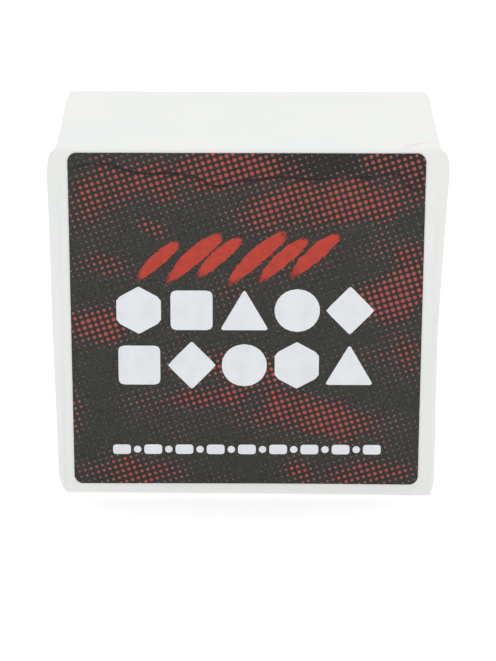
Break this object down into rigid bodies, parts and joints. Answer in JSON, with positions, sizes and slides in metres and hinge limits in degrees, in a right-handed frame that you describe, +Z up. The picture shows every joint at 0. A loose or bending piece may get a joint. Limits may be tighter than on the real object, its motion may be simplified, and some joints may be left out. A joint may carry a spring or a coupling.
{
  "type": "gymnastics chalk block",
  "caption": "Pressed block of gymnastics chalk in a folded white paper wrapper, with a square rounded label on the front and fold-open ends.",
  "frame": {"origin": "middle of the flat base of the wrapped block, which stands on its long edge", "axes": "+X along the wrapper's tube, from the left folded end to the right one as the label is read; +Y from the label towards the back seam; +Z up"},
  "size_m": [0.056, 0.0307, 0.0532],
  "materials": {
    "chalk": "matte",
    "wrapper_paper": "matte",
    "label_print": "satin",
    "glue": "satin"
  },
  "bodies": {
    "wrapped_block": {"chalk_block": "chalk", "wrapper_sleeve": "wrapper_paper", "seam_glue_line": "glue", "front_label": "label_print"},
    "left_front_flap": {"left_front_flap": "wrapper_paper"},
    "left_back_flap": {"left_back_flap": "wrapper_paper", "left_glue_dot": "glue"},
    "left_top_tuck": {"left_top_tuck": "wrapper_paper"},
    "left_bottom_tuck": {"left_bottom_tuck": "wrapper_paper"},
    "right_front_flap": {"right_front_flap": "wrapper_paper"},
    "right_back_flap": {"right_back_flap": "wrapper_paper", "right_glue_dot": "glue"},
    "right_top_tuck": {"right_top_tuck": "wrapper_paper"},
    "right_bottom_tuck": {"right_bottom_tuck": "wrapper_paper"}
  },
  "joints": [
    {"name": "left_end_fold", "type": "hinge", "parent": "wrapped_block", "child": "left_front_flap", "pos_m": [-0.02795, -0.0149, 0.0266], "axis": [0, 0, 1], "range_deg": [0, 155]},
    {"name": "left_back_flap_fold", "type": "hinge", "parent": "wrapped_block", "child": "left_back_flap", "pos_m": [-0.0275, 0.01495, 0.0266], "axis": [0, 0, -1], "range_deg": [0, 88.4]},
    {"name": "left_top_tuck_fold", "type": "hinge", "parent": "wrapped_block", "child": "left_top_tuck", "pos_m": [-0.0271, 0, 0.05295], "axis": [0, 1, 0], "range_deg": [0, 80.7]},
    {"name": "left_bottom_tuck_fold", "type": "hinge", "parent": "wrapped_block", "child": "left_bottom_tuck", "pos_m": [-0.0271, 0, 0.0003], "axis": [0, -1, 0], "range_deg": [0, 80.7]},
    {"name": "right_end_fold", "type": "hinge", "parent": "wrapped_block", "child": "right_front_flap", "pos_m": [0.02795, -0.0149, 0.0266], "axis": [0, 0, -1], "range_deg": [0, 155]},
    {"name": "right_back_flap_fold", "type": "hinge", "parent": "wrapped_block", "child": "right_back_flap", "pos_m": [0.0275, 0.01495, 0.0266], "axis": [0, 0, 1], "range_deg": [0, 88.4]},
    {"name": "right_top_tuck_fold", "type": "hinge", "parent": "wrapped_block", "child": "right_top_tuck", "pos_m": [0.0271, 0, 0.05295], "axis": [0, -1, 0], "range_deg": [0, 80.7]},
    {"name": "right_bottom_tuck_fold", "type": "hinge", "parent": "wrapped_block", "child": "right_bottom_tuck", "pos_m": [0.0271, 0, 0.0003], "axis": [0, 1, 0], "range_deg": [0, 80.7]}
  ],
  "couplings": [
    {"joint": "left_back_flap_fold", "follows": "left_end_fold", "ratio": 0.57},
    {"joint": "left_top_tuck_fold", "follows": "left_end_fold", "ratio": 0.52},
    {"joint": "left_bottom_tuck_fold", "follows": "left_end_fold", "ratio": 0.52},
    {"joint": "right_back_flap_fold", "follows": "right_end_fold", "ratio": 0.57},
    {"joint": "right_top_tuck_fold", "follows": "right_end_fold", "ratio": 0.52},
    {"joint": "right_bottom_tuck_fold", "follows": "right_end_fold", "ratio": 0.52}
  ]
}
